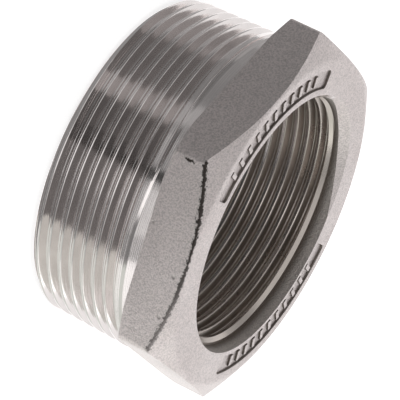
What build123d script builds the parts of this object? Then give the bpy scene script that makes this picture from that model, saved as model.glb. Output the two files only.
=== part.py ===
from build123d import *
import os
from math import atan, ceil, cos, degrees, radians, sqrt, tan

# A hexagon reducing bushing for pipe, cast in one piece and threaded outside and inside.
# It stands on the end ring of its tapered thread. Z runs up the bore to the hexagon's face,
# and two corners of the hexagon lie on X. All lengths are in mm and all angles in degrees.
# The outside thread is cut in full. The bore is the plain hole that the inside thread is cut in.

# Outside thread form: grooves with straight flanks between flat crests
pitch = 2.309
flank_angle = 27.5
crest_flat = 0.385

# Parallel inside thread. The bore lies at its crests, and the mouth is opened past its roots.
inside_major_diameter = 47.803
inside_groove_depth = 1.2
mouth_clearance = 0.1
land_chamfer = 1.0

# Tapered outside thread. The wall is the metal between the roots of the inside thread and the
# outside thread's crests on its gauge plane, where it measures 59.614 across.
thread_wall = 5.9055
gauge_height = 15.9
taper = 1 / 16
outside_thread_height = 19.0
end_chamfer = 1.5

# Plain neck between the outside thread and the hexagon, a little below the last crests
neck_drop = 0.3
neck_slope_height = 0.5
neck_length = 2.3

# Hexagon, coned all round in front and at its corners behind
flat_stand = 0.6
hexagon_height = 8.9
corner_radius = 1.2
face_rim = 0.2
face_chamfer_angle = 28.0
back_corner_cut = 2.6
back_chamfer_angle = 15.0

# Mouth left by the casting's core, a little off the bore's axis, so it shows on one side only
cast_mouth_tuck = 0.15
cast_mouth_depth = 2.0
cast_mouth_draft = 30.0
cast_mouth_shift = 0.6
cast_mouth_direction = 100.0

# Two recessed panels in the face, one at the middle of each flat that faces along Y
panel_land = 1.2
panel_rim = 1.7
panel_span = 76.0
panel_depth = 0.45
panel_corner_radius = 0.7

# How far a cutting or joining solid runs past the surface that it crosses
overrun = 0.15

# Sizes of the two threads
inside_major_radius = inside_major_diameter / 2
gauge_radius = inside_major_radius + thread_wall
slope = taper / 2
flank = tan(radians(flank_angle))
groove_half = (pitch - crest_flat) / 2
thread_depth = groove_half / flank


def crest_radius(height):
    """Radius of the outside thread's crests at a height above the end ring."""
    return gauge_radius + slope * (height - gauge_height)


# Heights and radii that the sizes above give
hexagon_base = outside_thread_height + neck_length
overall_height = hexagon_base + hexagon_height
top_crest_radius = crest_radius(outside_thread_height)
neck_radius = top_crest_radius - neck_drop
flat_radius = top_crest_radius + flat_stand
corner_reach = 2 * flat_radius / sqrt(3)
face_radius = flat_radius - face_rim
bore_radius = inside_major_radius - inside_groove_depth
mouth_radius = inside_major_radius + mouth_clearance


def turned(*points):
    """Solid of revolution about Z from the corners of its section, each a radius and a height."""
    return revolve(Plane.XZ * make_face(Polyline(*points, close=True)), Axis.Z)


def groove_cutter(start, turns, growth):
    """Closed helical bar that cuts the thread's groove for whole turns from the height start.

    Its section is a V with its point at the bottom of the groove and its top just outside the
    crests. It climbs one pitch a turn, and its radii grow by growth on each turn.
    """
    bottom_radius = crest_radius(start) - thread_depth
    top_radius = crest_radius(start) + overrun
    top_half = groove_half + overrun * flank
    section = [(bottom_radius, 0), (top_radius, -top_half), (top_radius, top_half)]
    cone_angle = degrees(atan(growth / pitch))
    slant_pitch = pitch / cos(radians(cone_angle))
    faces = []
    for turn in range(turns):
        edges = []
        for radius, lift in section:
            centre = (0, 0, start + turn * pitch + lift)
            turn_radius = radius + growth * turn
            edges.append(Edge.make_helix(slant_pitch, pitch, turn_radius, centre, angle=cone_angle))
        for edge, next_edge in zip(edges, edges[1:] + edges[:1]):
            faces.append(Face.make_surface_from_curves(edge, next_edge))
        if turn == 0:
            first_corners = [edge @ 0 for edge in edges]
    last_corners = [edge @ 1 for edge in edges]
    for corners in (first_corners, last_corners):
        faces.append(Face(Wire.make_polygon(corners, close=True)))
    return Solid(Shell(faces))


def threaded_stub():
    """Tapered stub with its thread: full turns from the end ring, then one that runs out at the neck."""
    crest_end = outside_thread_height - neck_slope_height
    stub = turned(
        (0, 0),
        (crest_radius(end_chamfer) - end_chamfer, 0),
        (crest_radius(end_chamfer), end_chamfer),
        (crest_radius(crest_end), crest_end),
        (neck_radius, outside_thread_height),
        (neck_radius, hexagon_base + overrun),
        (0, hexagon_base + overrun),
    )
    runout_start = outside_thread_height - pitch
    full_turns = ceil(outside_thread_height / pitch)
    taper_growth = slope * pitch
    runout_growth = thread_depth + overrun + taper_growth
    stub -= groove_cutter(runout_start - full_turns * pitch, full_turns, taper_growth)
    stub -= groove_cutter(runout_start, 1, runout_growth)
    return stub


def hexagon():
    """Hexagon head with softened corners, a coned face and slightly coned back corners."""
    prism = extrude(RegularPolygon(flat_radius, 6, major_radius=False), hexagon_height)
    prism = fillet(prism.edges().filter_by(Axis.Z), corner_radius)
    reach = corner_reach + overrun
    back_radius = corner_reach - back_corner_cut
    back_rise = (reach - back_radius) * tan(radians(back_chamfer_angle))
    face_drop = (reach - face_radius) * tan(radians(face_chamfer_angle))
    envelope = turned(
        (0, 0),
        (back_radius, 0),
        (reach, back_rise),
        (reach, hexagon_height - face_drop),
        (face_radius, hexagon_height),
        (0, hexagon_height),
    )
    return Pos(0, 0, hexagon_base) * (prism & envelope)


def bore():
    """Cutter for the bore, with a chamfer at each end."""
    mouth_depth = mouth_radius - bore_radius
    return turned(
        (0, -overrun),
        (bore_radius + land_chamfer + overrun, -overrun),
        (bore_radius, land_chamfer),
        (bore_radius, overall_height - mouth_depth),
        (mouth_radius + overrun, overall_height + overrun),
        (0, overall_height + overrun),
    )


def cast_mouth():
    """Cutter for the drafted recess that the core left round the bore's mouth."""
    spread = tan(radians(cast_mouth_draft))
    radius = mouth_radius - cast_mouth_tuck
    recess = turned(
        (0, -cast_mouth_depth),
        (radius - cast_mouth_depth * spread, -cast_mouth_depth),
        (radius + overrun * spread, overrun),
        (0, overrun),
    )
    shift = Vector(cast_mouth_shift, 0, 0).rotate(Axis.Z, cast_mouth_direction)
    return Pos(shift.X, shift.Y, overall_height) * recess


def panel(middle_angle):
    """Cutter for one recessed panel: a piece of a ring with rounded corners."""
    inner_radius = mouth_radius + panel_land
    outer_radius = face_radius - panel_rim
    half_span = panel_span / 2
    wedge_length = outer_radius / cos(radians(half_span)) + overrun
    wedge_side = wedge_length * tan(radians(half_span))
    wedge = make_face(Polyline((0, 0), (wedge_length, -wedge_side), (wedge_length, wedge_side), close=True))
    outline = (Circle(outer_radius) - Circle(inner_radius)) & wedge
    rounding = min(panel_corner_radius, (outer_radius - inner_radius) / 3)
    outline = fillet(outline.vertices(), rounding)
    cutter = extrude(outline, panel_depth + overrun)
    return Pos(0, 0, overall_height - panel_depth) * Rot(0, 0, middle_angle) * cutter


def hex_bushing():
    """The whole bushing: the stub and the hexagon in one, then every cut."""
    body = threaded_stub() + hexagon()
    for cutter in (bore(), cast_mouth(), panel(-90), panel(90)):
        body -= cutter
    return body


os.makedirs("parts", exist_ok=True)
export_step(hex_bushing(), "parts/hex_bushing.step")
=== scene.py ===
from math import asin, atan2, ceil, cos, hypot, pi, radians, sin, tan

import bmesh
import bpy
from bpy.props import FloatProperty, FloatVectorProperty, IntProperty, PointerProperty
from mathutils import Matrix, Vector


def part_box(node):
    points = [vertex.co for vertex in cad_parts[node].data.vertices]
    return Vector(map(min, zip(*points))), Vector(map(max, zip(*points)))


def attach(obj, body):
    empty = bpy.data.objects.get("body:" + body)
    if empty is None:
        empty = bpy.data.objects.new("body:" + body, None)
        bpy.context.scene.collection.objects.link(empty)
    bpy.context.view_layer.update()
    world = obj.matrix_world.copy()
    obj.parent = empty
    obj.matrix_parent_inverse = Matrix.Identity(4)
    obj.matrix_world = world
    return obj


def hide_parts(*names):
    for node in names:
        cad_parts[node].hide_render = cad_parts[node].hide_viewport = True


# Looks of a cast and turned hexagon bushing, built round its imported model.
# Every length is in metres and every angle in radians. Z runs up the bore.

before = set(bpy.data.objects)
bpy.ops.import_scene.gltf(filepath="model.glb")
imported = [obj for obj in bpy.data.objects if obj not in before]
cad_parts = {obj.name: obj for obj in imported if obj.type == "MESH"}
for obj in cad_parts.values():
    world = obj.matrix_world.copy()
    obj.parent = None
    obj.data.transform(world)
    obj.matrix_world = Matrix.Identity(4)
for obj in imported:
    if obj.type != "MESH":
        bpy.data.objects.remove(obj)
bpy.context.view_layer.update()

NODE = "hex_bushing"
MM = 0.001

node_low, node_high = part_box(NODE)

bl_info = {
    "name": "Hexagon bushing",
    "version": (1, 0, 0),
    "blender": (4, 5, 0),
    "location": "3D View > Sidebar > Bushing",
    "description": "Builds a cast hexagon pipe bushing with its two threads, its finishes and its studio",
    "category": "Object",
}


def length(name, description, millimetres):
    """Property for a length, stated in millimetres and kept in metres."""
    return FloatProperty(
        name=name, description=description, default=millimetres * MM, subtype="DISTANCE", unit="LENGTH"
    )


def angle(name, description, degrees):
    """Property for an angle, stated in degrees and kept in radians."""
    return FloatProperty(
        name=name, description=description, default=radians(degrees), subtype="ANGLE", unit="ROTATION"
    )


def number(name, description, value):
    """Property for a plain number without a unit."""
    return FloatProperty(name=name, description=description, default=value)


def colour(name, description, value):
    """Property for a linear colour."""
    return FloatVectorProperty(
        name=name, description=description, default=value, size=3, subtype="COLOR", min=0.0, max=1.0
    )


def place(name, description, value):
    """Property for a point, stated in metres."""
    return FloatVectorProperty(
        name=name, description=description, default=value, size=3, subtype="TRANSLATION", unit="LENGTH"
    )


class ThreadSizes(bpy.types.PropertyGroup):
    """Sizes of the two threads and of what is turned beside them."""

    pitch: length("Pitch", "Height of one turn of both threads", 2.309)
    flank_angle: angle("Flank angle", "Slope of a flank off the plane across the axis", 27.5)
    crest_flat: length("Crest flat", "Width of the flat that is left on a crest", 0.385)
    crest_softness: length("Crest softness", "Round along the edges of a crest", 0.32)
    gauge_radius: length("Gauge radius", "Radius of the outside crests on the gauge plane", 29.807)
    gauge_height: length("Gauge height", "Height of the gauge plane above the end ring", 15.9)
    taper: number("Taper", "Growth of the outside radius for each unit of height", 1 / 32)
    outside_height: length("Outside height", "Height of the outside thread above the end ring", 19.0)
    outside_depth: length("Outside depth", "Depth of the outside grooves", 1.479)
    end_chamfer: length("End chamfer", "Chamfer at the end ring", 1.5)
    neck_drop: length("Neck drop", "How far the neck lies below the last crests", 0.3)
    neck_slope_height: length("Neck slope", "Height of the slope from the crests to the neck", 0.5)
    neck_length: length("Neck length", "Plain neck between the thread and the hexagon", 2.3)
    inside_radius: length("Inside radius", "Radius of the inside thread's roots", 23.9015)
    inside_depth: length("Inside depth", "Depth of the inside grooves", 1.2)
    inside_crest_flat: length("Inside crest flat", "Flat that is left on an inside crest", 0.675)
    inside_top: length("Inside top", "Depth below the face where the inside grooves start to fade", 3.8)
    inside_angle: angle("Inside start", "Where round the axis the inside grooves start to fade", 176.0)
    mouth_clearance: length("Mouth clearance", "How far the mouth opens past the inside roots", 0.1)
    land_chamfer: length("Land chamfer", "Chamfer of the bore at the end ring", 1.0)


class HeadSizes(bpy.types.PropertyGroup):
    """Sizes of the hexagon and of what is cast in its face."""

    face_rim: length("Face rim", "How far the flat face stays inside the hexagon's flats", 0.2)
    face_angle: angle("Face angle", "Slope of the cone round the face", 28.0)
    face_softness: length("Face softness", "Round where the face turns into its cone", 2.4)
    back_cut: length("Back cut", "How far the back's cone starts inside the corners", 2.6)
    back_angle: angle("Back angle", "Slope of the cone behind the corners", 15.0)
    corner_radius: length("Corner radius", "Round of the hexagon's six corners", 1.2)
    edge_softness: length("Edge softness", "Width of the round along the hexagon's cast edges", 0.45)
    mouth_tuck: length("Mouth tuck", "How far the cast mouth stays inside the turned one", 0.15)
    mouth_depth: length("Mouth depth", "Depth of the cast mouth, down to its turned ledge", 2.4)
    mouth_draft: angle("Mouth draft", "Slope of the cast mouth's wall", 11.0)
    lead_in: length("Lead-in", "Chamfer from the ledge into the inside thread", 0.65)
    mouth_shift: length("Mouth shift", "How far the cast mouth lies off the axis", 0.6)
    mouth_direction: angle("Mouth direction", "Where the cast mouth is shifted to", 100.0)
    # This is the reach of a painted shade at the foot of the cast mouth.
    foot_shading: length("Foot dirt", "How far dirt reaches up from the foot of the cast mouth", 1.7)
    worn_radius: length("Worn radius", "Radius of the cone that wore the mouth's rim on one side", 21.2)
    worn_shift: length("Worn shift", "How far that cone lies off the axis", 4.0)
    worn_direction: angle("Worn side", "Side of the mouth's rim that is worn", 175.0)
    worn_depth: length("Worn depth", "Depth of the worn rim", 1.5)
    # The burr's width is also the width of its painted shadow.
    burr_width: length("Burr width", "Usual width of the mould's burr", 0.54)
    spot_height: length("Spot height", "Height of the rough spot beside the burr's corner", 24.9)
    spot_along: length("Spot place", "Place of that spot along its flat, from the flat's middle", -16.6)
    panel_land: length("Panel land", "Land between the mouth and a panel", 1.2)
    panel_rim: length("Panel rim", "Rim between a panel and the edge of the face", 1.7)
    panel_span: angle("Panel span", "How far a panel goes round the axis", 76.0)
    panel_depth: length("Panel depth", "Depth of a panel", 0.45)
    panel_corner: length("Panel corner", "Round of a panel's corners", 0.7)
    panel_draft: length("Panel draft", "How far a panel's walls lean out over their height", 0.12)
    panel_softness: length("Panel softness", "Width of the round along a panel's rim", 0.12)
    mark_span: angle("Mark span", "How far the row of marks goes round the axis", 56.0)
    mark_length: length("Mark length", "Size of a mark across the panel", 2.1)
    mark_width: length("Mark width", "Size of a mark along the panel", 0.9)
    mark_height: length("Mark height", "How far a mark stands above the panel's floor", 0.38)
    mark_softness: length("Mark softness", "Width of the round along a mark's edges", 0.12)


class FinishColours(bpy.types.PropertyGroup):
    """Colours of the casting and of its turned surfaces."""

    cast: colour("Casting", "Blasted skin of the casting", (0.835, 0.758, 0.745))
    cast_dark: colour("Casting, dark", "Hollows and pits of the casting", (0.30, 0.28, 0.27))
    # The recess colour is painted shade: the casting darkened for the wall of the cast mouth.
    mouth_shade: colour("Recess", "Darker skin in the cast mouth", (0.70, 0.65, 0.62))
    # The grime colour is painted shade, on the walls of the panels and marks and at the foot of the cast
    # mouth.
    painted_shade: colour("Grime", "Casting where dirt stays, in corners and along burrs", (0.19, 0.16, 0.14))
    # The burr colour is a painted shadow along the mould's burr.
    burr_shadow: colour("Burr", "Dark edge that the mould left", (0.07, 0.06, 0.055))
    turned: colour("Turned metal", "Fresh surface of the outside thread", (0.80, 0.75, 0.737))
    tapped: colour("Tapped metal", "Surface of the thread in the bore", (0.61, 0.55, 0.505))


class StudioSizes(bpy.types.PropertyGroup):
    """Camera, floor and light."""

    eye: place("Eye", "Place of the camera", (0.3454, -0.4576, 0.2357))
    lens: number("Lens", "Focal length in millimetres on a 36 mm sensor", 322.2)
    floor_size: length("Floor size", "Side of the floor", 6000.0)
    wall_radius: length("Wall distance", "How far off the wall of cards stands", 1000.0)
    wall_height: length("Wall height", "Height of the wall of cards", 1150.0)


class BushingSettings(bpy.types.PropertyGroup):
    """Everything that a user of the bushing would change."""

    thread: PointerProperty(type=ThreadSizes)
    head: PointerProperty(type=HeadSizes)
    finish: PointerProperty(type=FinishColours)
    studio: PointerProperty(type=StudioSizes)
    turn_steps: IntProperty(name="Steps", description="Facets in one turn of a round surface", default=192)
    thread_steps: IntProperty(name="Thread steps", description="Facets in one turn of a thread", default=160)
    inside_turns: IntProperty(
        name="Inside turns", description="Turns of the inside thread up to its fading one", default=8
    )
    mark_count: IntProperty(name="Marks", description="Raised bars in one panel", default=11, min=2)


# How far a cutter runs past what it cuts, and how near counts as near, as touching and as the same
OVERRUN = 0.15 * MM
NEAR = 0.3 * MM
TOUCH = 0.05 * MM
SAME = 0.001 * MM

# Rounds of the corners that are turned
TOOL_EDGE = 0.1 * MM
END_EDGE = 0.15 * MM
NECK_EDGE = 0.2 * MM
NECK_FILLET = 0.35 * MM
BACK_ROUND = 1.0 * MM
MOUTH_EDGE = 0.12 * MM
BORE_EDGE = 0.08 * MM

# Facets of a groove's root, of a crest's edge, of a panel and of a ring in the studio
ROOT_STEPS = 3
CREST_STEPS = 4
PANEL_STEPS = 40
RING_STEPS = 48

# How much a face's normal rises, from 0 on an upright wall to 1 on a level floor
UPRIGHT = 0.1
SLOPING = 0.5
STEEP = 0.85
LEVEL = 0.99

# Half of what one flat of the hexagon takes up round the axis, where the middles of the two panels
# lie, and how far two faces may turn from each other and still be shaded as one
HALF_SIDE = radians(30)
PANEL_MIDDLES = (-pi / 2, pi / 2)
SMOOTH_ANGLE = radians(32)


def settings():
    """Values of the bushing in the open scene."""
    return bpy.context.scene.bushing


def crest_radius(height):
    """Radius of the outside thread's crests at a height above the end ring."""
    thread = settings().thread
    return thread.gauge_radius + thread.taper * (height - thread.gauge_height)


def bore_radius():
    """Radius of the bore, which lies at the crests of the inside thread."""
    thread = settings().thread
    return thread.inside_radius - thread.inside_depth


def mouth_radius():
    """Radius of the turned mouth of the bore."""
    thread = settings().thread
    return thread.inside_radius + thread.mouth_clearance


def hexagon_base():
    """Height of the hexagon's back above the end ring."""
    thread = settings().thread
    return thread.outside_height + thread.neck_length


def flat_radius():
    """Half the width of the hexagon across its flats, as packed."""
    return node_high.y


def corner_reach():
    """Distance from the axis to a sharp corner of the hexagon."""
    return 2 * flat_radius() / 3**0.5


def face_radius():
    """Radius of the flat face, inside its cone."""
    return flat_radius() - settings().head.face_rim


# Modelling by hand


def only(piece):
    """Selects one object and makes it the active one."""
    bpy.ops.object.select_all(action="DESELECT")
    piece.select_set(True)
    bpy.context.view_layer.objects.active = piece


def fresh(primitive, **values):
    """New object from one of Blender's primitives, with nothing else selected."""
    bpy.ops.object.select_all(action="DESELECT")
    primitive(**values)
    return bpy.context.object


def outline(name, corners):
    """Closed outline in the XZ plane, drawn by extruding one point from corner to corner.

    A corner is a radius and a height.
    """
    piece = fresh(bpy.ops.mesh.primitive_plane_add, size=MM, location=(0, 0, 0))
    piece.name = name
    bpy.ops.object.mode_set(mode="EDIT")
    bpy.ops.mesh.select_mode(type="VERT")
    bpy.ops.mesh.select_all(action="SELECT")
    bpy.ops.mesh.merge(type="CENTER")
    bpy.ops.transform.translate(value=(corners[0][0], 0, corners[0][1]))
    for here, there in zip(corners, corners[1:]):
        step = (there[0] - here[0], 0, there[1] - here[1])
        bpy.ops.mesh.extrude_vertices_move(TRANSFORM_OT_translate={"value": step})
    bpy.ops.mesh.select_all(action="DESELECT")
    mesh = bmesh.from_edit_mesh(piece.data)
    for vertex in mesh.verts:
        vertex.select = len(vertex.link_edges) == 1
    mesh.select_flush_mode()
    bmesh.update_edit_mesh(piece.data)
    bpy.ops.mesh.edge_face_add()
    bpy.ops.object.mode_set(mode="OBJECT")
    return piece


def close_up(piece):
    """Merges doubles, closes open ends and turns the faces outwards."""
    only(piece)
    bpy.ops.object.mode_set(mode="EDIT")
    bpy.ops.mesh.select_all(action="SELECT")
    bpy.ops.mesh.remove_doubles(threshold=SAME)
    bpy.ops.mesh.fill_holes(sides=0)
    bpy.ops.mesh.select_all(action="SELECT")
    bpy.ops.mesh.normals_make_consistent(inside=False)
    bpy.ops.object.mode_set(mode="OBJECT")


def spun(name, corners, turn=2 * pi, steps=None):
    """What an outline sweeps when it is spun about Z, clockwise from the XZ plane on.

    Two corners give a flat ring, and more give a closed solid.
    """
    piece = outline(name, corners)
    bpy.ops.object.mode_set(mode="EDIT")
    bpy.ops.mesh.select_all(action="SELECT")
    bpy.ops.mesh.spin(
        steps=steps or settings().turn_steps,
        angle=turn,
        center=(0, 0, 0),
        axis=(0, 0, 1),
        use_auto_merge=turn == 2 * pi,
    )
    bpy.ops.object.mode_set(mode="OBJECT")
    if len(corners) > 2:
        close_up(piece)
    return piece


def apply_modifier(piece, kind, **values):
    """Adds a modifier with these values and applies it."""
    only(piece)
    modifier = piece.modifiers.new(kind.lower(), kind)
    for name, value in values.items():
        setattr(modifier, name, value)
    bpy.ops.object.modifier_apply(modifier=modifier.name)


def combine(piece, other, operation):
    """Exact boolean of a piece with another, which is used up. Faces keep their finish."""
    apply_modifier(
        piece, "BOOLEAN", object=other, operation=operation, solver="EXACT", material_mode="TRANSFER"
    )
    bpy.data.objects.remove(other)


def place_in_mesh(piece):
    """Moves an object's place and turn into its mesh, so that it sits at the origin."""
    only(piece)
    bpy.ops.object.transform_apply(location=True, rotation=True, scale=True)


def soften(piece, chosen, width, segments=3):
    """Bevels the edges of a piece for which the test chosen holds."""
    only(piece)
    bpy.ops.object.mode_set(mode="EDIT")
    bpy.ops.mesh.select_mode(type="EDGE")
    bpy.ops.mesh.select_all(action="DESELECT")
    mesh = bmesh.from_edit_mesh(piece.data)
    for edge in mesh.edges:
        edge.select = len(edge.link_faces) == 2 and chosen(edge)
    mesh.select_flush_mode()
    bmesh.update_edit_mesh(piece.data)
    bpy.ops.mesh.bevel(offset=width, segments=segments, affect="EDGES", clamp_overlap=True)
    bpy.ops.object.mode_set(mode="OBJECT")


def rounded(corners, radii, steps=4):
    """Corners of a closed outline with an arc of the given radius in place of each corner."""
    points = []
    count = len(corners)
    for index, (corner, radius) in enumerate(zip(corners, radii)):
        here = Vector(corner)
        if radius == 0:
            points.append(tuple(here))
            continue
        back = (Vector(corners[index - 1]) - here).normalized()
        ahead = (Vector(corners[(index + 1) % count]) - here).normalized()
        half = back.angle(ahead) / 2
        middle = here + (back + ahead).normalized() * (radius / sin(half))
        first = here + back * (radius / tan(half)) - middle
        last = here + ahead * (radius / tan(half)) - middle
        sweep = first.angle(last)
        for step in range(steps + 1):
            part = step / steps
            mix = (first * sin((1 - part) * sweep) + last * sin(part * sweep)) / sin(sweep)
            points.append(tuple(middle + mix))
    return points


# Shapes of the bushing


def edge_middle(edge):
    """Point halfway along an edge."""
    return (edge.verts[0].co + edge.verts[1].co) / 2


def edge_rise(edge):
    """Difference in height between the two ends of an edge."""
    return abs(edge.verts[0].co.z - edge.verts[1].co.z)


def slants(edge):
    """How much the normals of an edge's two faces rise, with the steeper face first."""
    return sorted(abs(face.normal.z) for face in edge.link_faces)


def aside(distance, direction):
    """Point in the plane of X and Y, at a distance from the axis and in a direction."""
    return distance * cos(direction), distance * sin(direction)


def turned_blank(cast, turned):
    """The whole body of revolution: stub, neck, coned hexagon blank and bore, in one spun outline.

    Each corner of the outline stands beside the radius of its round.
    """
    thread = settings().thread
    head = settings().head
    base = hexagon_base()
    top = node_high.z
    crest_end = thread.outside_height - thread.neck_slope_height
    neck = crest_radius(thread.outside_height) - thread.neck_drop
    reach = corner_reach() + OVERRUN
    back_start = corner_reach() - head.back_cut
    back_rise = (reach - back_start) * tan(head.back_angle)
    face_drop = (reach - face_radius()) * tan(head.face_angle)
    mouth_depth = mouth_radius() - bore_radius()
    section = [
        ((bore_radius() + thread.land_chamfer, 0), TOOL_EDGE),
        ((crest_radius(thread.end_chamfer) - thread.end_chamfer, 0), END_EDGE),
        ((crest_radius(thread.end_chamfer), thread.end_chamfer), TOOL_EDGE),
        ((crest_radius(crest_end), crest_end), TOOL_EDGE),
        ((neck, thread.outside_height), NECK_EDGE),
        ((neck, base), NECK_FILLET),
        ((back_start, base), BACK_ROUND),
        ((reach, base + back_rise), 0),
        ((reach, top - face_drop), 0),
        ((face_radius(), top), head.face_softness),
        ((mouth_radius(), top), MOUTH_EDGE),
        ((bore_radius(), top - mouth_depth), BORE_EDGE),
        ((bore_radius(), thread.land_chamfer), END_EDGE),
    ]
    corners, radii = zip(*section)
    blank = spun("casting", rounded(corners, radii))
    blank.data.materials.append(cast)
    blank.data.materials.append(turned)
    for face in blank.data.polygons:
        middle = face.center
        radius = hypot(middle.x, middle.y)
        is_turned = middle.z < base - NEAR or radius < mouth_radius() - TOUCH
        face.material_index = 1 if is_turned else 0
    return blank


def hexagon_prism(cast):
    """Prism of the hexagon's flats with rounded corners, taller than the whole bushing."""
    head = settings().head
    top = node_high.z
    prism = fresh(
        bpy.ops.mesh.primitive_cylinder_add,
        vertices=6,
        radius=corner_reach(),
        depth=2 * top,
        location=(0, 0, top / 2),
        rotation=(0, 0, HALF_SIDE),
    )
    place_in_mesh(prism)
    soften(prism, lambda edge: edge_rise(edge) > top, head.corner_radius * tan(HALF_SIDE), segments=5)
    prism.data.materials.append(cast)
    return prism


def groove_half(depth, crest_flat):
    """One side of a groove's section, from the middle of its bottom to above its crests.

    Each point is a depth below the crests and a distance from the groove's middle. The bottom
    is an arc that touches both flanks, and the edge of the crest is softened by another.
    """
    thread = settings().thread
    flank = thread.flank_angle
    half_top = (thread.pitch - crest_flat) / 2
    tip = half_top / tan(flank)
    bottom = (tip - depth) / (1 / sin(flank) - 1)
    bottom_middle = tip - bottom / sin(flank)
    soft = thread.crest_softness
    soft_middle = half_top - soft * tan(flank) + soft / cos(flank)
    arc = pi / 2 - flank
    points = []
    for step in range(ROOT_STEPS + 1):
        turn = arc * step / ROOT_STEPS
        points.append((bottom_middle + bottom * cos(turn), bottom * sin(turn)))
    for step in range(CREST_STEPS):
        turn = arc * (1 - step / CREST_STEPS)
        points.append((soft - soft * cos(turn), soft_middle - soft * sin(turn)))
    points.append((-OVERRUN, soft_middle))
    return points


def helical_bar(name, corners, turns, lean, finish):
    """Closed bar that climbs one pitch a turn. Lean gives a radius to add from turns and height."""
    thread = settings().thread
    steps = settings().thread_steps
    bar = outline(name, corners)
    apply_modifier(
        bar,
        "SCREW",
        axis="Z",
        angle=2 * pi,
        screw_offset=thread.pitch,
        iterations=turns,
        steps=steps,
        render_steps=steps,
        use_smooth_shade=False,
    )
    for index, vertex in enumerate(bar.data.vertices):
        done = index // len(corners) / steps
        radius = hypot(vertex.co.x, vertex.co.y)
        grown = (radius + lean(done, vertex.co.z)) / radius
        vertex.co.x *= grown
        vertex.co.y *= grown
    close_up(bar)
    bar.data.materials.append(finish)
    return bar


def outside_groove(turned):
    """Cutter for the outside thread: full turns on the taper, then one that runs out at the neck."""
    thread = settings().thread
    runout_start = thread.outside_height - thread.pitch
    full_turns = ceil(thread.outside_height / thread.pitch)
    start = runout_start - full_turns * thread.pitch
    half = groove_half(thread.outside_depth, thread.crest_flat)
    base = crest_radius(0)
    upper = [(base - depth, start + side) for depth, side in half]
    lower = [(base - depth, start - side) for depth, side in half[1:]]
    rise = thread.outside_depth + OVERRUN

    def lean(done, height):
        return thread.taper * height + rise * max(done - full_turns, 0)

    return helical_bar("outside_groove", lower[::-1] + upper, full_turns + 1, lean, turned)


def inside_groove(tapped):
    """Cutter for the inside thread: a turn that deepens, full turns and a turn that fades out."""
    thread = settings().thread
    fade_start = settings().inside_turns + thread.inside_angle / (2 * pi)
    start = node_high.z - thread.inside_top - fade_start * thread.pitch
    half = groove_half(thread.inside_depth, thread.inside_crest_flat)
    base = bore_radius()
    upper = [(base + depth, start + side) for depth, side in half]
    lower = [(base + depth, start - side) for depth, side in half[1:]]
    rise = thread.inside_depth + OVERRUN

    def lean(done, height):
        return -rise * max(1 - done, done - fade_start, 0)

    return helical_bar("inside_groove", lower[::-1] + upper, ceil(fade_start + 1), lean, tapped)


def cone_cutter(low, high, finish, shift=(0, 0)):
    """Cutter with a cone for its wall. Low and high are each a radius and a depth below the face."""
    cutter = fresh(
        bpy.ops.mesh.primitive_cone_add,
        vertices=settings().turn_steps,
        radius1=low[0],
        radius2=high[0],
        depth=low[1] - high[1],
        location=(*shift, node_high.z - (low[1] + high[1]) / 2),
    )
    place_in_mesh(cutter)
    cutter.data.materials.append(finish)
    return cutter


def cast_mouth(mouth_shade, tapped):
    """Cutter for the hollow round the mouth, a little off the bore's axis, with a turned ledge. Its wall
    takes the casting darkened as painted shade.
    """
    head = settings().head
    spread = tan(head.mouth_draft)
    radius = mouth_radius() - head.mouth_tuck
    low = (radius - head.mouth_depth * spread, head.mouth_depth)
    high = (radius + OVERRUN * spread, -OVERRUN)
    cutter = cone_cutter(low, high, mouth_shade, aside(head.mouth_shift, head.mouth_direction))
    cutter.data.materials.append(tapped)
    for face in cutter.data.polygons:
        face.material_index = 1 if face.normal.z < -LEVEL else 0
    return cutter


def thread_lead_in(tapped):
    """Cutter for the chamfer that leads from the ledge into the inside thread."""
    head = settings().head
    low = (bore_radius() - OVERRUN, head.mouth_depth + head.lead_in + OVERRUN)
    high = (bore_radius() + head.lead_in + OVERRUN, head.mouth_depth - OVERRUN)
    return cone_cutter(low, high, tapped)


def worn_rim(cast):
    """Cutter for the slope that wears down the mouth's rim on one side, a cone far off the axis."""
    head = settings().head
    low = (head.worn_radius - head.worn_depth, head.worn_depth)
    high = (head.worn_radius + OVERRUN, -OVERRUN)
    return cone_cutter(low, high, cast, aside(head.worn_shift, head.worn_direction))


def panel_radii():
    """Inner and outer radius of a panel."""
    head = settings().head
    return mouth_radius() + head.panel_land, face_radius() - head.panel_rim


def paint_wall_shade(piece, cast, painted_shade):
    """Finish of a casting for a piece, with painted shade on its steep faces: a darker casting there."""
    piece.data.materials.append(cast)
    piece.data.materials.append(painted_shade)
    for face in piece.data.polygons:
        face.material_index = 1 if abs(face.normal.z) < STEEP else 0


def panel(middle, cast, painted_shade):
    """Cutter for one recessed panel in the face, a piece of a ring with rounded corners."""
    head = settings().head
    inner, outer = panel_radii()
    top = node_high.z
    floor = top - head.panel_depth
    draft = head.panel_draft
    spread = draft * OVERRUN / head.panel_depth
    corners = [
        (inner + draft, floor),
        (outer - draft, floor),
        (outer + spread, top + OVERRUN),
        (inner - spread, top + OVERRUN),
    ]
    cutter = spun("panel", corners, head.panel_span, PANEL_STEPS)

    def is_corner(edge):
        return edge.calc_face_angle() > radians(60) and edge_rise(edge) > head.panel_depth / 2

    soften(cutter, is_corner, head.panel_corner, segments=4)
    cutter.rotation_euler.z = middle + head.panel_span / 2
    place_in_mesh(cutter)
    # The panel's walls are darkened as painted shade.
    paint_wall_shade(cutter, cast, painted_shade)
    return cutter


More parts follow.
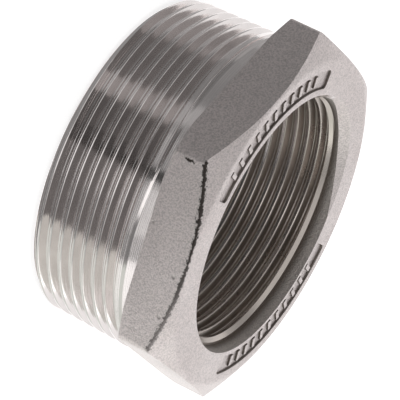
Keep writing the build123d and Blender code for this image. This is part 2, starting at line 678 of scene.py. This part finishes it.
def panel_marks(middle, cast, painted_shade):
    """Row of plain raised bars along the middle of a panel, sunk a little into its floor."""
    head = settings().head
    inner, outer = panel_radii()
    radius = (inner + outer) / 2
    floor = node_high.z - head.panel_depth
    middle_height = floor + (head.mark_height - OVERRUN) / 2
    bars = []
    count = settings().mark_count
    for index in range(count):
        turn = middle + head.mark_span * (index / (count - 1) - 0.5)
        bar = fresh(bpy.ops.mesh.primitive_cube_add, size=1)
        bar.scale = (head.mark_length, head.mark_width, head.mark_height + OVERRUN)
        bar.location = (*aside(radius, turn), middle_height)
        bar.rotation_euler.z = turn
        place_in_mesh(bar)
        soften(bar, lambda edge: True, head.mark_softness, segments=2)
        # The bar's sides are darkened as painted shade.
        paint_wall_shade(bar, cast, painted_shade)
        bars.append(bar)
    only(bars[0])
    for bar in bars:
        bar.select_set(True)
    bpy.ops.object.join()
    return bpy.context.object


def is_cast_edge(edge):
    """True along the hexagon's edges, where a flat meets the cone in front or the back."""
    middle = edge_middle(edge)
    if middle.z < hexagon_base() - TOUCH or hypot(middle.x, middle.y) < flat_radius() - NEAR:
        return False
    steeper, flatter = slants(edge)
    return steeper < UPRIGHT and flatter > SLOPING


def is_panel_rim(edge):
    """True where a wall of a panel meets the flat of the face."""
    if min(vertex.co.z for vertex in edge.verts) < node_high.z - TOUCH:
        return False
    middle = edge_middle(edge)
    inner, outer = panel_radii()
    if not inner - NEAR < hypot(middle.x, middle.y) < outer + NEAR:
        return False
    steeper, flatter = slants(edge)
    return steeper < SLOPING and flatter > LEVEL


# Finishes


def add(tree, kind, values=None, **choices):
    """Adds a node. Values are for its sockets, by name or number, and a socket as a value is linked."""
    made = tree.nodes.new(kind)
    for name, choice in choices.items():
        setattr(made, name, choice)
    for name, value in (values or {}).items():
        if isinstance(value, bpy.types.NodeSocket):
            tree.links.new(value, made.inputs[name])
        else:
            made.inputs[name].default_value = value
    return made


def maths(tree, operation, first, second=0.0):
    """Result of a maths node, from two numbers or sockets."""
    return add(tree, "ShaderNodeMath", {0: first, 1: second}, operation=operation).outputs[0]


def measure(tree, operation, *vectors):
    """Number that a vector maths node finds from one vector or two."""
    values = dict(enumerate(vectors))
    return add(tree, "ShaderNodeVectorMath", values, operation=operation).outputs["Value"]


def remap(tree, value, low, high, new_low=0.0, new_high=1.0):
    """Value moved smoothly from one range to another, and held at its ends."""
    values = {"Value": value, "From Min": low, "From Max": high, "To Min": new_low, "To Max": new_high}
    return add(tree, "ShaderNodeMapRange", values, interpolation_type="SMOOTHSTEP").outputs["Result"]


def noise(tree, vector, scale, detail=2.0, roughness=0.5):
    """Cloudy noise between 0 and 1. A larger scale gives smaller clouds."""
    values = {"Vector": vector, "Scale": scale, "Detail": detail, "Roughness": roughness}
    return add(tree, "ShaderNodeTexNoise", values).outputs["Fac"]


def blend(tree, factor, first, second):
    """Mixes two colours by a factor that changes over the surface.

    A mix node has its colours after its sockets for numbers and vectors.
    """
    values = {0: factor, 6: first, 7: second}
    return add(tree, "ShaderNodeMix", values, data_type="RGBA").outputs[2]


def new_group(name, inputs, outputs):
    """Empty node group. A socket named Vector holds a vector, and every other one a number.

    Returns the group, its input node and its output node.
    """
    tree = bpy.data.node_groups.new(name, "ShaderNodeTree")
    for side, sockets in (("INPUT", inputs), ("OUTPUT", outputs)):
        for socket in sockets:
            kind = "NodeSocketVector" if socket == "Vector" else "NodeSocketFloat"
            tree.interface.new_socket(name=socket, in_out=side, socket_type=kind)
    return tree, tree.nodes.new("NodeGroupInput"), tree.nodes.new("NodeGroupOutput")


def blasted_skin_group():
    """Skin of a blasted casting: fine grain, soft waves and a few pits."""
    wave_share = 0.6
    pit_share = 1.6
    inputs = ("Vector", "Grain", "Pitting")
    outputs = ("Height", "Hollows", "Mottle")
    tree, given, result = new_group("blasted skin", inputs, outputs)
    vector = given.outputs["Vector"]
    fine = noise(tree, vector, scale=3400.0, roughness=0.7)
    waves = noise(tree, vector, scale=620.0)
    cells = add(tree, "ShaderNodeTexVoronoi", {"Vector": vector, "Scale": 420.0, "Randomness": 1.0})
    pit = remap(tree, cells.outputs["Distance"], 0.04, 0.2, 1.0, 0.0)
    chance = remap(tree, noise(tree, vector, scale=260.0), 0.5, 0.62)
    pits = maths(tree, "MULTIPLY", maths(tree, "MULTIPLY", pit, chance), given.outputs["Pitting"])
    grain = maths(tree, "MULTIPLY", fine, given.outputs["Grain"])
    height = maths(tree, "ADD", grain, maths(tree, "MULTIPLY", waves, wave_share))
    height = maths(tree, "SUBTRACT", height, maths(tree, "MULTIPLY", pits, pit_share))
    hollows = maths(tree, "MAXIMUM", remap(tree, fine, 0.62, 0.36), pits)
    tree.links.new(height, result.inputs["Height"])
    tree.links.new(hollows, result.inputs["Hollows"])
    mottle = noise(tree, vector, scale=75.0, detail=3.0, roughness=0.6)
    tree.links.new(mottle, result.inputs["Mottle"])
    return tree


def tool_marks_group():
    """Fine lines that the threading tool leaves along the helix, with a slow change of sheen.

    The lines are three waves, each with its number of lines in a pitch and its share of the height.
    """
    waves = ((7, 0.5), (11, 0.35), (17, 0.25))
    wander = 9.0
    tree, given, result = new_group("tool marks", ("Vector", "Pitch"), ("Height", "Sheen"))
    parts = add(tree, "ShaderNodeSeparateXYZ", {0: given.outputs["Vector"]}).outputs
    turns = maths(tree, "DIVIDE", maths(tree, "ARCTAN2", parts[1], parts[0]), 2 * pi)
    climb = maths(tree, "SUBTRACT", maths(tree, "DIVIDE", parts[2], given.outputs["Pitch"]), turns)
    slow = noise(tree, given.outputs["Vector"], scale=90.0)
    drift = maths(tree, "MULTIPLY", slow, wander)
    height = 0.0
    for lines, share in waves:
        phase = maths(tree, "MULTIPLY_ADD", climb, 2 * pi * lines)
        tree.links.new(drift, phase.node.inputs[2])
        wave = maths(tree, "MULTIPLY", maths(tree, "SINE", phase), share)
        height = maths(tree, "ADD", wave, height)
    tree.links.new(maths(tree, "MULTIPLY", height, slow), result.inputs["Height"])
    sheen = noise(tree, given.outputs["Vector"], scale=160.0, detail=3.0, roughness=0.55)
    tree.links.new(sheen, result.inputs["Sheen"])
    return tree


def burr_group():
    """Mask of the mould's burr, which the casting's material sinks by a bump and darkens as painted shadow:
    along one flat's edge towards the face, and a spot by its corner.

    The line and the spot reach further where their noise is high, which makes them ragged.
    """
    head = settings().head
    side = radians(330)
    blur = 0.06 * MM
    full_until = -4 * MM
    thin_from = 16 * MM
    spot_rise = 1.3 * MM
    spot_reach = 0.5 * MM
    raggedness = 3.4
    burr_tips = 7
    spot_tips = 4.6
    tree, given, result = new_group("burr_shadow", ("Vector",), ("Mask",))
    vector = given.outputs["Vector"]
    parts = add(tree, "ShaderNodeSeparateXYZ", {0: vector}).outputs
    flat = add(tree, "ShaderNodeCombineXYZ", {0: parts[0], 1: parts[1], 2: 0.0}).outputs[0]
    radius = measure(tree, "LENGTH", flat)
    out = measure(tree, "DOT_PRODUCT", vector, (cos(side), sin(side), 0))
    along = measure(tree, "DOT_PRODUCT", vector, (-sin(side), cos(side), 0))
    drop = maths(tree, "MULTIPLY", maths(tree, "SUBTRACT", radius, face_radius()), tan(head.face_angle))
    below = maths(tree, "SUBTRACT", maths(tree, "SUBTRACT", node_high.z, drop), parts[2])
    inside = maths(tree, "SUBTRACT", flat_radius(), out)
    away = maths(tree, "ADD", maths(tree, "ABSOLUTE", below), maths(tree, "ABSOLUTE", inside))
    roughness = noise(tree, vector, scale=1500.0, detail=4.0, roughness=0.8)
    ragged = maths(tree, "POWER", roughness, raggedness)
    reach = maths(tree, "MULTIPLY", ragged, head.burr_width * burr_tips)
    edge_line = remap(tree, maths(tree, "SUBTRACT", away, reach), -blur, blur, 1.0, 0.0)
    strength = remap(tree, along, full_until, thin_from, 1.0, 0.7)
    line = maths(tree, "MULTIPLY", edge_line, strength)
    above_spot = maths(tree, "SUBTRACT", parts[2], head.spot_height)
    beside_spot = maths(tree, "SUBTRACT", along, head.spot_along)
    from_spot = {
        0: maths(tree, "DIVIDE", above_spot, spot_rise),
        1: maths(tree, "DIVIDE", beside_spot, spot_reach),
        2: maths(tree, "DIVIDE", inside, spot_reach),
    }
    spot_place = add(tree, "ShaderNodeCombineXYZ", from_spot).outputs[0]
    spot_away = measure(tree, "LENGTH", spot_place)
    spot_edge = maths(tree, "SUBTRACT", spot_away, maths(tree, "MULTIPLY", ragged, spot_tips))
    spot = remap(tree, spot_edge, 0.0, 0.2, 1.0, 0.0)
    tree.links.new(maths(tree, "MAXIMUM", line, spot), result.inputs["Mask"])
    return tree


def new_material(name):
    """Material with an empty tree and an output. Returns the material, its tree and that output."""
    material = bpy.data.materials.new(name)
    material.use_nodes = True
    tree = material.node_tree
    tree.nodes.clear()
    return material, tree, tree.nodes.new("ShaderNodeOutputMaterial")


def steel(tree, output, values):
    """Metallic surface shader with these values on its sockets, led to the output."""
    shader = add(tree, "ShaderNodeBsdfPrincipled", {"Metallic": 1.0, **values})
    tree.links.new(shader.outputs[0], output.inputs["Surface"])


def bumped(tree, height, distance):
    """Normal of a surface that a height of 1 raises by this distance."""
    values = {"Height": height, "Distance": distance, "Strength": 1.0}
    return add(tree, "ShaderNodeBump", values).outputs["Normal"]


def cast_material(name, tint, skin, burr_shadow, roughness=0.36, grain=1.0, shading=None):
    """Blasted casting: light and grainy, darker in its hollows, and darkened along the mould's burr as its
    painted shadow.

    The last argument, when given, is the two heights between which a painted shade, darkest at the lower
    one, thins out to nothing.
    """
    finish = settings().finish
    skin_depth = 0.1 * MM
    hollow_shade = 0.42
    roughness_spread = 0.14
    burr_sink = 2.0
    material, tree, output = new_material(name)
    position = add(tree, "ShaderNodeTexCoord").outputs["Object"]
    skin_values = {"Vector": position, "Grain": grain, "Pitting": 1.0}
    look = add(tree, "ShaderNodeGroup", skin_values, node_tree=skin)
    edge = add(tree, "ShaderNodeGroup", {"Vector": position}, node_tree=burr_shadow)
    hollow = maths(tree, "MULTIPLY", look.outputs["Hollows"], hollow_shade)
    skin_colour = blend(tree, hollow, (*tint, 1), (*finish.cast_dark, 1))
    # Painted shade, darkest at the lower height and gone at the higher one.
    if shading:
        height_here = add(tree, "ShaderNodeSeparateXYZ", {0: position}).outputs[2]
        left = remap(tree, height_here, *shading, 1.0, 0.0)
        skin_colour = blend(tree, left, skin_colour, (*finish.painted_shade, 1))
    # Near black along the burr's mask, painted as the burr's shadow; the bump below sinks the same mask.
    base = blend(tree, edge.outputs["Mask"], skin_colour, (*finish.burr_shadow, 1))
    rough = remap(tree, look.outputs["Mottle"], 0.3, 0.7, roughness, roughness + roughness_spread)
    sunk = maths(tree, "MULTIPLY", edge.outputs["Mask"], burr_sink)
    height = maths(tree, "SUBTRACT", look.outputs["Height"], sunk)
    normal = bumped(tree, height, skin_depth)
    steel(tree, output, {"Base Color": base, "Roughness": rough, "Normal": normal})
    return material


def turned_material(name, tint, marks, roughness, mark_depth):
    """Turned steel with the marks of its tool, a little darker and duller in places."""
    dull_share = 0.93
    roughness_spread = 0.05
    material, tree, output = new_material(name)
    position = add(tree, "ShaderNodeTexCoord").outputs["Object"]
    mark_values = {"Vector": position, "Pitch": settings().thread.pitch}
    look = add(tree, "ShaderNodeGroup", mark_values, node_tree=marks)
    dull = tuple(channel * dull_share for channel in tint)
    shade = remap(tree, look.outputs["Sheen"], 0.35, 0.65)
    base = blend(tree, shade, (*tint, 1), (*dull, 1))
    rough = remap(tree, look.outputs["Sheen"], 0.3, 0.7, roughness, roughness + roughness_spread)
    normal = bumped(tree, look.outputs["Height"], mark_depth)
    steel(tree, output, {"Base Color": base, "Roughness": rough, "Normal": normal})
    return material


def seen_directly(tree):
    """1 for what the camera sees straight, in a mirror or through glass, and 0 for light."""
    path = add(tree, "ShaderNodeLightPath")
    seen = maths(tree, "MAXIMUM", path.outputs["Is Camera Ray"], path.outputs["Is Glossy Ray"])
    return maths(tree, "MAXIMUM", seen, path.outputs["Is Transmission Ray"])


def floor_material():
    """White floor that keeps the bushing's shadow and shows white round it."""
    grey = 0.8
    seen_glow = 0.6
    material, tree, output = new_material("studio_floor")
    matt = add(tree, "ShaderNodeBsdfDiffuse", {"Color": (grey, grey, grey, 1)})
    strength = maths(tree, "MULTIPLY", seen_directly(tree), seen_glow)
    glow = add(tree, "ShaderNodeEmission", {"Strength": strength})
    both = add(tree, "ShaderNodeAddShader", {0: matt.outputs[0], 1: glow.outputs[0]})
    tree.links.new(both.outputs[0], output.inputs["Surface"])
    return material


def card_material(name, tone):
    """Plain light of a card that the metal mirrors. Its tone is a grey or a colour."""
    material, tree, output = new_material(name)
    card_colour = tone if isinstance(tone, tuple) else (tone, tone, tone)
    glow = add(tree, "ShaderNodeEmission", {"Color": (*card_colour, 1), "Strength": 1.0})
    tree.links.new(glow.outputs[0], output.inputs["Surface"])
    return material


# Operators and panel


class BuildCasting(bpy.types.Operator):
    """Builds the bushing: blank, hexagon, panels, marks, cast mouth and both threads, in one mesh"""

    bl_idname = "bushing.build_casting"
    bl_label = "Build the casting"

    def execute(self, context):
        finish = settings().finish
        head = settings().head
        skin = blasted_skin_group()
        marks = tool_marks_group()
        burr_shadow = burr_group()
        cast = cast_material("blasted_casting", finish.cast, skin, burr_shadow)
        # Casting darkened as painted shade, for the walls of the panels and marks.
        painted_shade = cast_material("casting_painted_shade", finish.painted_shade, skin, burr_shadow)
        ledge = node_high.z - head.mouth_depth
        # Heights between which the painted shade at the foot of the cast mouth thins out, from its ledge
        # upwards.
        shading = (ledge, ledge + head.foot_shading)
        # Wall of the cast mouth: the casting's colour darkened as painted shade, with painted shade at its
        # foot as well.
        mouth_shade = cast_material(
            "casting_in_mouth_shade", finish.mouth_shade, skin, burr_shadow, roughness=0.6, grain=2.4, shading=shading
        )
        turned = turned_material(
            "turned_steel", finish.turned, marks, roughness=0.13, mark_depth=0.006 * MM
        )
        tapped = turned_material(
            "tapped_steel", finish.tapped, marks, roughness=0.27, mark_depth=0.001 * MM
        )
        casting = turned_blank(cast, turned)
        combine(casting, hexagon_prism(cast), "INTERSECT")
        soften(casting, is_cast_edge, head.edge_softness)
        combine(casting, cast_mouth(mouth_shade, tapped), "DIFFERENCE")
        combine(casting, thread_lead_in(tapped), "DIFFERENCE")
        combine(casting, worn_rim(cast), "DIFFERENCE")
        for middle in PANEL_MIDDLES:
            combine(casting, panel(middle, cast, painted_shade), "DIFFERENCE")
        soften(casting, is_panel_rim, head.panel_softness, segments=2)
        for middle in PANEL_MIDDLES:
            combine(casting, panel_marks(middle, cast, painted_shade), "UNION")
        combine(casting, outside_groove(turned), "DIFFERENCE")
        combine(casting, inside_groove(tapped), "DIFFERENCE")
        close_up(casting)
        bpy.ops.object.shade_smooth_by_angle(angle=SMOOTH_ANGLE)
        apply_modifier(casting, "WEIGHTED_NORMAL", mode="FACE_AREA", keep_sharp=True)
        casting.name = "casting"
        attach(casting, "root")
        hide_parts(NODE)
        return {"FINISHED"}


# Ends of the cards in front: just outside the stub, and none where a card goes on up the wall
BESIDE = 0.0303
WALL = None

# A card in front is a zone of the floor. It is named by the part of the stub that mirrors it, from
# one angle to another, and it lies between two distances from the axis. Its tone comes last.
CARD_ZONES = (
    ("card_left_end", 243, 262, BESIDE, WALL, 0.41),
    ("card_left", 262, 284.5, BESIDE, WALL, 0.19),
    ("card_patch", 283.5, 291.5, BESIDE, WALL, 0.45),
    ("card_front", 291.5, 307.3, BESIDE, WALL, 0.13),
    ("card_lens", 307.3, 311.3, BESIDE, WALL, 0.05),
    ("card_right_near", 311.3, 341, BESIDE, 0.066, 0.21),
    ("card_dim_near", 304, 311, BESIDE, 0.047, 0.085),
    ("card_left_neck", 250, 283.5, 0.06, 0.08, 0.28),
    ("card_front_neck", 283.5, 296, 0.058, 0.08, 0.38),
    ("card_front_neck_end", 296, 307.3, 0.058, 0.08, 0.5),
    ("card_neck", 311.3, 329, 0.066, 0.08, 0.75),
    ("card_blob", 329, 338.5, 0.066, 0.08, 0.33),
    ("card_right_middle", 311.3, 313, 0.08, 0.14, 0.22),
    ("card_side", 313, 337, 0.08, 0.14, 1.0),
    ("card_right_far", 311.3, 341, 0.14, WALL, 0.22),
    ("card_lower_near", 341, 375, BESIDE, 0.066, (0.86, 0.9, 0.86)),
    ("card_lower", 341, 375, 0.1, WALL, (0.76, 0.8, 0.76)),
)

# The other cards are level rings: where one starts, how far it turns, its two radii, height and tone
CARD_RINGS = (
    ("card_ceiling", 20, 180, 0.12, 1.0, 0.9, 0.36),
    ("card_ceiling_front", 200, 180, 0.05, 0.6, 0.9, 0.7),
    ("card_foot", 0, 360, 0.0218, BESIDE, 0.0001, 0.3),
    ("card_bore", 345, 230, 0.0001, 0.0215, 0.0005, 0.07),
    ("card_bore_dim", 215, 130, 0.0001, 0.0215, 0.0005, 0.03),
    ("card_bore_glow", 38, 72, 0.0125, 0.0215, 0.0007, 0.85),
)

# Height of the lowest card above the floor's level, and of each next one above the one before
CARD_LIFT = 0.5 * MM
LAYER_STEP = 0.02 * MM

# Share of a card's grid that lies on the floor, where the rest of it stands on the wall
FLOOR_SHARE = 0.8

# Radius of the stub as a mirror, and how much faster the mirrored direction turns than the place on
# the stub: twice as fast for a far camera, and a little more for this one
STUB_RADIUS = 29 * MM
MIRROR_GAIN = 2.1

# Soft boxes, a high one behind and a low one beside the camera: name, place, width and power
LAMPS = (
    ("key_light", (0.1, 0.8, 0.9), 0.8, 1.8),
    ("fill_light", (0.7, -0.5, 0.6), 0.6, 1.0),
)

# Strength of the white world where it lights the bushing. Where it is seen its strength is 1.
WORLD_LIGHT = 0.7

# What is right and up in the picture. The camera is rolled, so the bore's axis runs down to the right.
CAMERA_RIGHT = (-0.54438856, -0.00695895, 0.83880431)
CAMERA_UP = (-0.62423043, -0.66461185, -0.41064274)

# How far the floor lies below the end ring
FLOOR_DROP = 0.05 * MM


class BuildStudio(bpy.types.Operator):
    """Builds the floor, the cards, the lamps, the world and the camera"""

    bl_idname = "bushing.build_studio"
    bl_label = "Build the studio"

    def execute(self, context):
        studio = settings().studio
        floor = fresh(bpy.ops.mesh.primitive_plane_add, size=studio.floor_size, location=(0, 0, -FLOOR_DROP))
        floor.name = "studio_floor"
        floor.data.materials.append(floor_material())
        self.add_cards()
        self.add_lamps()
        self.set_world()
        self.add_camera()
        return {"FINISHED"}

    def add_cards(self):
        """Cards that only the metal's reflections see: in front, overhead and in the bore."""
        for layer, (name, start, end, near, far, tone) in enumerate(CARD_ZONES):
            self.finish_card(self.zone(name, radians(start), radians(end), near, far, layer), tone)
        for name, start, turn, near, far, height, tone in CARD_RINGS:
            card = spun(name, ((near, height), (far, height)), radians(turn), RING_STEPS)
            card.rotation_euler.z = radians(start + turn)
            place_in_mesh(card)
            self.finish_card(card, tone)

    def zone(self, name, start, end, near, far, layer):
        """Part of the floor that the stub mirrors between two angles and two distances.

        Without a far distance it reaches the wall and goes on up it. Where two zones cross, the one
        on the higher layer covers the other.
        """
        studio = settings().studio
        card = fresh(bpy.ops.mesh.primitive_grid_add, x_subdivisions=40, y_subdivisions=24, size=2)
        card.name = name
        floor_share = FLOOR_SHARE if far is WALL else 1.0
        far = far or studio.wall_radius
        for vertex in card.data.vertices:
            outwards = (vertex.co.x + 1) / 2
            across = (vertex.co.y + 1) / 2
            radius = near * (far / near) ** min(outwards / floor_share, 1)
            turn = self.mirrored(start, radius) * (1 - across) + self.mirrored(end, radius) * across
            rise = max(outwards - floor_share, 0) / (1 - floor_share) if floor_share < 1 else 0
            height = CARD_LIFT + LAYER_STEP * layer + rise * studio.wall_height
            vertex.co = (*aside(radius, turn), height)
        return card

    def mirrored(self, around, radius):
        """Angle, at a distance from the axis, of what the stub mirrors at an angle round itself."""
        studio = settings().studio
        view = atan2(studio.eye[1], studio.eye[0]) + 2 * pi
        heading = view + MIRROR_GAIN * (around - view)
        return heading + asin(STUB_RADIUS * sin(around - heading) / radius)

    def finish_card(self, card, tone):
        """Gives a card its tone and hides it from all but reflections."""
        card.data.materials.append(card_material(card.name, tone))
        card.visible_camera = False
        card.visible_diffuse = False
        card.visible_shadow = False

    def add_lamps(self):
        """Soft boxes that point at the origin."""
        for name, position, size, power in LAMPS:
            light = bpy.data.lights.new(name, "AREA")
            light.shape = "DISK"
            light.size = size
            light.energy = power
            lamp = bpy.data.objects.new(name, light)
            bpy.context.scene.collection.objects.link(lamp)
            lamp.location = position
            lamp.rotation_euler = (-Vector(position)).to_track_quat("-Z", "Y").to_euler()

    def set_world(self):
        """White round the studio where it is seen, and a soft light from it elsewhere."""
        world = bpy.data.worlds.new("studio_world")
        bpy.context.scene.world = world
        world.use_nodes = True
        tree = world.node_tree
        tree.nodes.clear()
        output = tree.nodes.new("ShaderNodeOutputWorld")
        strength = remap(tree, seen_directly(tree), 0.0, 1.0, WORLD_LIGHT, 1.0)
        sky = add(tree, "ShaderNodeBackground", {"Color": (1, 1, 1, 1), "Strength": strength})
        tree.links.new(sky.outputs[0], output.inputs["Surface"])

    def add_camera(self):
        """Camera of the photograph."""
        studio = settings().studio
        data = bpy.data.cameras.new("photo_camera")
        data.lens = studio.lens
        data.sensor_width = 36.0
        data.clip_start = 0.01
        data.clip_end = 20.0
        camera = bpy.data.objects.new("photo_camera", data)
        bpy.context.scene.collection.objects.link(camera)
        right = Vector(CAMERA_RIGHT)
        up = Vector(CAMERA_UP)
        turn = Matrix((right, up, right.cross(up))).transposed()
        camera.matrix_world = Matrix.Translation(studio.eye) @ turn.to_4x4()
        bpy.context.scene.camera = camera
        bpy.context.scene.view_settings.view_transform = "Standard"


class BushingPanel(bpy.types.Panel):
    """Sizes, colours and buttons of the bushing"""

    bl_idname = "VIEW3D_PT_bushing"
    bl_label = "Bushing"
    bl_space_type = "VIEW_3D"
    bl_region_type = "UI"
    bl_category = "Bushing"

    def draw(self, context):
        bushing = context.scene.bushing
        for name in ("turn_steps", "thread_steps", "inside_turns", "mark_count"):
            self.layout.prop(bushing, name)
        for group in (bushing.thread, bushing.head, bushing.finish, bushing.studio):
            box = self.layout.box()
            for name in group.__annotations__:
                box.prop(group, name)
        for operator in OPERATORS:
            self.layout.operator(operator.bl_idname)


OPERATORS = (BuildCasting, BuildStudio)
CLASSES = (ThreadSizes, HeadSizes, FinishColours, StudioSizes, BushingSettings, *OPERATORS, BushingPanel)


def register():
    """Adds the settings, the operators and the panel."""
    for each in CLASSES:
        bpy.utils.register_class(each)
    bpy.types.Scene.bushing = PointerProperty(type=BushingSettings)


def unregister():
    """Takes them away again."""
    del bpy.types.Scene.bushing
    for each in reversed(CLASSES):
        bpy.utils.unregister_class(each)


def main():
    """Builds the bushing and its studio."""
    register()
    bpy.ops.bushing.build_casting()
    bpy.ops.bushing.build_studio()


if __name__ == "__main__":
    main()
